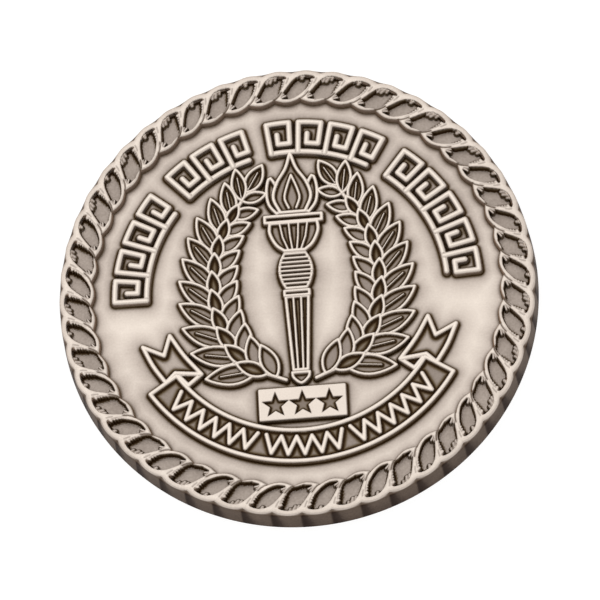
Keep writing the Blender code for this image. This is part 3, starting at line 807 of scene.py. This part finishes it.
def sink(relief, outline):
    """Cuts a flat-floored mark into a plate that is already painted."""
    spot = relief.window(outline, 2 * MARK_WALL)
    x, y = relief.x[spot], relief.y[spot]
    away, away_x, away_y = distance_to(x, y, outline, True)
    edge = np.where(inside(x, y, outline), away, -away)
    side = np.where(edge > 0, 1.0, -1.0)
    pull = np.where(np.abs(edge) < relief.step / 2, -edge, 0.0)
    pull = np.where(np.abs(edge - MARK_WALL) < relief.step / 2, MARK_WALL - edge, pull)
    edge = edge + pull
    cut = edge >= 0
    slope = np.clip(edge / MARK_WALL, 0, 1)
    ground = floor_shade(MARK_TONE, np.maximum(edge - MARK_WALL, 0), CREVICE)
    tone = np.where(slope < 1, wall_tone(slope, WALL_FADE), ground)
    z = relief.z[spot] + (FLOOR_HEIGHT - relief.z[spot]) * slope
    for layer, values in ((relief.z, z), (relief.tone, tone), (relief.move_x, pull * away_x * side),
                          (relief.move_y, pull * away_y * side)):
        layer[spot] = np.where(cut, values, layer[spot])


def plaque(material):
    """A flat bright plate with three sunk stars."""
    low, high = (Vector(c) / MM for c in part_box("plaque"))
    relief = Relief((low.x - 0.6, low.y - 0.6), (high.x + 0.6, high.y + 0.6))
    left, foot = low.x + PLAQUE_HALF, low.y + PLAQUE_HALF
    right, head = high.x - PLAQUE_HALF, high.y - PLAQUE_HALF
    edge = [(left, foot), (right, foot), (right, head), (left, head)]
    relief.paint(edge, half=PLAQUE_HALF, floor=DESIGN_RELIEF - CROWN)
    flat = inside(relief.x, relief.y, edge)
    relief.tone[flat] = PLATE_TONE
    relief.z[flat] = DESIGN_RELIEF
    relief.move_x[flat] = 0
    relief.move_y[flat] = 0
    for x in (-MARK_SPACING, 0.0, MARK_SPACING):
        sink(relief, star(x, (low.y + high.y) / 2 - MARK_DROP, MARK_RADIUS))
    relief.build("plaque_relief", material, "plaque")


def banner(material):
    """Swallow-tailed ribbon: the tails and folds lie behind the curved panel."""
    for name, place in (("right", list), ("left", mirrored)):
        inner_side = smooth_outline([(11.96, -3.48), (10.7, -5.58), (9.18, -7.5)], TAIL_STEPS)
        outer_side = smooth_outline([(12.5, -8.1), (13.62, -6.36), (14.5, -4.42)], TAIL_STEPS)
        tail = [(12.57, -5.4), *inner_side, (11.6, -7.2), *outer_side]
        fold = [(9.18, -7.5), (11.5, -7.3), (10.45, -8.5)]
        low, high = (8.6, -10.2), (15.4, -2.8)
        if name == "left":
            low, high = (-high[0], low[1]), (-low[0], high[1])
        relief = Relief(low, high)
        relief.paint(place(fold), half=BANNER_HALF, floor_tone=0.20)
        relief.paint(place(tail), half=BANNER_HALF, floor_tone=0.66, crevice=0.29)
        relief.build(f"banner_tail_{name}_relief", material, f"banner_tail_{name}",
                     f"banner_fold_{name}")
    trim = BANNER_END + math.degrees(BANNER_HALF / BANNER_OUTER)
    first, last = 180 + trim, 360 - trim
    outer = arc(BANNER_OUTER - BANNER_HALF, first, last, BANNER_STEPS)
    inner = arc(BANNER_INNER + BANNER_HALF, last, first, BANNER_STEPS)
    middle = (BANNER_INNER + BANNER_OUTER) / 2
    span = sum(ZIGZAG_GROUPS) * ZIGZAG_UNIT + (len(ZIGZAG_GROUPS) - 1) * ZIGZAG_GAP
    start = 270 - span / 2
    zigzags = []
    for units in ZIGZAG_GROUPS:
        path = []
        for i in range(2 * units + 1):
            rise = 1 if i % 2 else -1
            path.append(polar(middle + rise * ZIGZAG_HEIGHT / 2, start + ZIGZAG_UNIT / 2 * i))
        zigzags.append((path, ZIGZAG_HALF))
        start += units * ZIGZAG_UNIT + ZIGZAG_GAP
    relief = Relief((-15.2, -17.6), (15.2, -6.8))
    relief.paint(outer + inner, half=BANNER_HALF, lines=zigzags, floor_tone=0.52, crevice=0.26)
    relief.build("banner_relief", material, "banner_panel", "banner_border",
                 "banner_zigzag_1", "banner_zigzag_2", "banner_zigzag_3")


# ---------------------------------------------------------------- fields

FIELD_RADIUS, FIELD_STEP = 19.12, 0.11
REVERSE_FIELD_RADIUS, REVERSE_FIELD_STEP = 20.4, 0.15


def field_disc(name, radius, step, z, rim_foot, material, *nodes, reverse=False):
    """A flat disc whose tone darkens towards every wall that stands on it: oxide at the foot, painted
    shade further out.
    """
    reach = math.ceil(radius / step) * step
    axis = np.arange(-reach, reach + step / 2, step)
    x, y = np.meshgrid(axis, axis)
    distance = np.hypot(x, y)
    rim_gap = np.maximum(rim_foot(np.degrees(np.arctan2(y, x))) - distance, 0)
    gap = rim_gap.copy()
    for outline, closed, foot in Relief.shadows:
        corners = np.asarray(outline)
        (x0, y0), (x1, y1) = corners.min(axis=0) - HALO_END, corners.max(axis=0) + HALO_END
        rows = slice(*np.searchsorted(axis, (y0, y1)))
        columns = slice(*np.searchsorted(axis, (x0, x1)))
        px, py = x[rows, columns], y[rows, columns]
        away, _, _ = distance_to(px, py, outline, closed)
        if closed:
            away = np.where(inside(px, py, outline), 0, away)
        gap[rows, columns] = np.minimum(gap[rows, columns], np.maximum(away - foot, 0))
    # painted shade: a soft halo around the design's walls and along the rope's foot, with an oxide line
    # at each foot
    tone = np.where(gap < rim_gap, field_tone(gap, FOOT_LINE, FOOT_SHADE_HALO), 1.0)
    tone = np.minimum(tone, field_tone(rim_gap, RIM_LINE, RIM_SHADE_HALO))
    quads = grid_quads(distance < radius + step)
    if reverse:
        quads = quads[:, ::-1]
    shrink = np.minimum(1, radius / np.maximum(distance, TINY))
    points = np.stack([x * shrink, y * shrink, z + 0 * x], -1).reshape(-1, 3)
    build_piece(name, points, quads, tone.ravel(), material, "satin_field", *nodes)


# ---------------------------------------------------------------- reverse

RING_STEPS = 720
REVERSE_RIM = 20.3         # inner radius of the flat rim
RIM_SLOPE = 0.15
REVERSE_RING = 18.9        # middle radius of the ring line
WREATH_RADIUS = 13.4
WREATH_DEGREES = (-82, -55, -28, 0, 28, 55, 66)
WREATH_PAIRS, WREATH_TAPER = 13, 0.2
WREATH_LEAVES = ((3.9, 1.55, 38.0), (3.5, 1.4, 34.0), (2.6, 1.0))
WREATH_SQUASH = 0.82       # its relief is lower than the obverse's
STAR_RADIUS = 7.0
STAR_HALF = 0.18


def turned_ring(name, profile, material, slot, node):
    """A ring from (radius, z, tone) points that run from the inner foot, under and outward."""
    angle = np.radians(360 * np.arange(RING_STEPS) / RING_STEPS)[None, :]
    radius, z, tone = (np.array(column)[:, None] + 0 * angle for column in zip(*profile))
    points = np.stack([radius * np.cos(angle), radius * np.sin(angle), z], -1)
    quads = grid_quads(np.ones(radius.shape, bool), wrap=True)
    build_piece(name, points.reshape(-1, 3), quads, tone.ravel(), material, slot, node)


def reverse_face(relief_metal, field_metal, rim_metal):
    """Flat rim, ring line, laurel and ridged star: the face that rests on the table."""
    Relief.shadows = []
    base, inner, ring = REVERSE_FIELD_Z, REVERSE_RIM, REVERSE_RING
    rim = [(inner - RIM_SLOPE, base + 0.02, 0.08), (inner - 0.14, base - 0.02, 0.1),
           (inner - 0.03, 0.05, 0.7), (inner + 0.03, 0.008, 0.98), (inner + 0.12, 0.0, 1.0),
           (RADIUS - 0.30, 0.0, 1.0), (RADIUS - 0.15, 0.015, 0.95), (RADIUS - 0.05, 0.06, 0.6),
           (RADIUS, WALL_BOTTOM, 0.33)]
    turned_ring("reverse_rim_relief", rim, rim_metal, "edge_metal", "reverse_rim")
    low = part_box("reverse_ring")[0].z / MM
    side = [(0.34, base + 0.02, 0.08), (0.33, base - 0.02, 0.1), (0.24, low + 0.03, 0.8),
            (0.15, low, 1.0)]
    line = [(ring - out, z, tone) for out, z, tone in side]
    line += [(ring + out, z, tone) for out, z, tone in reversed(side)]
    turned_ring("reverse_ring_relief", line, relief_metal, "raised_metal", "reverse_ring")
    path = [polar(WREATH_RADIUS, degrees) for degrees in WREATH_DEGREES]
    for name, flip in (("left", False), ("right", True)):
        low_corner, high_corner = (0.4, -15.6), (17.6, 15.6)
        if flip:
            low_corner, high_corner = (-17.6, -15.6), (-0.4, 15.6)
        relief = Relief(low_corner, high_corner, REVERSE_STEP)
        laurel(relief, path, WREATH_PAIRS, *WREATH_LEAVES, WREATH_TAPER, flip)
        relief.z = np.where(relief.z > 0.1, relief.z * WREATH_SQUASH, relief.z)
        relief.build(f"reverse_laurel_{name}_relief", relief_metal, f"reverse_laurel_{name}",
                     reverse=True)
    faceted_star(relief_metal)
    field_disc("reverse_field", REVERSE_FIELD_RADIUS, REVERSE_FIELD_STEP, base,
               lambda degrees: inner - RIM_SLOPE, field_metal, reverse=True)


def faceted_star(material):
    """Five arms with a ridge down each, inside a raised outline."""
    relief = Relief((-8.2, -8.2), (8.2, 8.2), REVERSE_STEP)
    outline = star(0, 0, STAR_RADIUS)
    relief.paint(outline, half=STAR_HALF)
    within = inside(relief.x, relief.y, outline)
    away, _, _ = distance_to(relief.x, relief.y, outline, True)
    beyond = away - STAR_HALF - INNER_WALL
    inner = within & (beyond > 0)
    relief.z = np.where(inner, FLOOR_HEIGHT * 0.6 + np.clip(beyond * 0.30, 0, 0.40), relief.z)
    relief.tone = np.where(inner, 0.93 - 0.75 * np.exp(-beyond / 0.12), relief.tone)
    relief.build("reverse_star_relief", material, "reverse_star", reverse=True)


# ---------------------------------------------------------------- studio

FLOOR_HALF = 1.5
FLOOR_DROP = 0.00002
FLOOR_GREY, FLOOR_GLOW = 0.30, 0.80     # mostly its own light, so that the coin casts no shadow
WORLD_STRENGTH = 0.96
SOFTBOX_PLACE, SOFTBOX_SIZE, SOFTBOX_POWER = (-0.20, 0.36, 0.80), 0.80, 1.02


def softbox():
    data = bpy.data.lights.new("softbox", "AREA")
    data.shape = "DISK"
    data.size = SOFTBOX_SIZE
    data.energy = SOFTBOX_POWER
    light = bpy.data.objects.new("softbox", data)
    light.location = SOFTBOX_PLACE
    light.rotation_mode = "QUATERNION"
    light.rotation_quaternion = (-Vector(SOFTBOX_PLACE)).to_track_quat("-Z", "Y")
    bpy.context.scene.collection.objects.link(light)


def studio():
    """A white floor and sky, with one large light behind the coin and to its left."""
    mesh = bpy.data.meshes.new("floor")
    corners = [(x * FLOOR_HALF, y * FLOOR_HALF, 0) for x, y in ((-1, -1), (1, -1), (1, 1), (-1, 1))]
    mesh.from_pydata(corners, [], [(0, 1, 2, 3)])
    floor = bpy.data.objects.new("floor", mesh)
    floor.location.z = -FLOOR_DROP
    bpy.context.scene.collection.objects.link(floor)
    material = bpy.data.materials.new("pale_floor")
    material.use_nodes = True
    shader = material.node_tree.nodes["Principled BSDF"]
    shader.inputs["Base Color"].default_value = (FLOOR_GREY, FLOOR_GREY, FLOOR_GREY, 1)
    shader.inputs["Emission Color"].default_value = (1.0, 1.0, 1.0, 1)
    shader.inputs["Emission Strength"].default_value = FLOOR_GLOW
    shader.inputs["Roughness"].default_value = 0.9
    mesh.materials.append(material)
    world = bpy.data.worlds.new("studio")
    world.use_nodes = True
    background = world.node_tree.nodes["Background"]
    background.inputs["Color"].default_value = (1.0, 1.0, 1.0, 1)
    background.inputs["Strength"].default_value = WORLD_STRENGTH
    bpy.context.scene.world = world
    bpy.context.scene.view_settings.view_transform = "Standard"
    softbox()


def camera():
    """The photo's view of the obverse: tilted back from straight above, and rolled."""
    azimuth, elevation, roll = math.radians(10.26), math.radians(68.11), math.radians(-14.03)
    distance = 0.5806
    aim_right, aim_up = 0.00030, -0.00090
    back = Vector((math.sin(azimuth) * math.cos(elevation), -math.cos(azimuth) * math.cos(elevation),
                   math.sin(elevation)))
    level = Vector((math.cos(azimuth), math.sin(azimuth), 0))
    right = level * math.cos(roll) + back.cross(level) * math.sin(roll)
    up = back.cross(right)
    data = bpy.data.cameras.new("camera")
    data.lens = 377.2
    data.sensor_width = 36
    data.clip_start, data.clip_end = 0.01, 10
    eye = bpy.data.objects.new("camera", data)
    target = Vector((0, 0, (FIELD_Z + DESIGN_RELIEF) * MM)) + right * aim_right + up * aim_up
    turn = Matrix((right, up, back)).transposed().to_4x4()
    eye.matrix_world = Matrix.Translation(target + back * distance) @ turn
    bpy.context.scene.collection.objects.link(eye)
    bpy.context.scene.camera = eye


camera()
studio()
relief_metal = struck_metal("struck_relief_metal", grain=0.35)
letter_metal = struck_metal("legend_metal", grain=0.25, wear=0.04)
rope_metal = struck_metal("rope_metal", grain=0.6, wear=0.10)
field_metal = struck_metal("satin_field_metal", brushed=0.8, grain=0.3, wear=0.07, cloud=0.30)
edge_metal = struck_metal("edge_metal", brushed=0.2, wear=0.07, sheen=0.04, tint=NO_TINT,
                          oxide=EDGE_OXIDE)
rope_border(rope_metal)
side_wall(edge_metal)
laurels(relief_metal)
torch(relief_metal)
legend(letter_metal)
plaque(letter_metal)
banner(relief_metal)
field_disc("obverse_field", FIELD_RADIUS, FIELD_STEP, FIELD_Z, rope_foot, field_metal, "coin_blank")
reverse_face(relief_metal, field_metal, edge_metal)
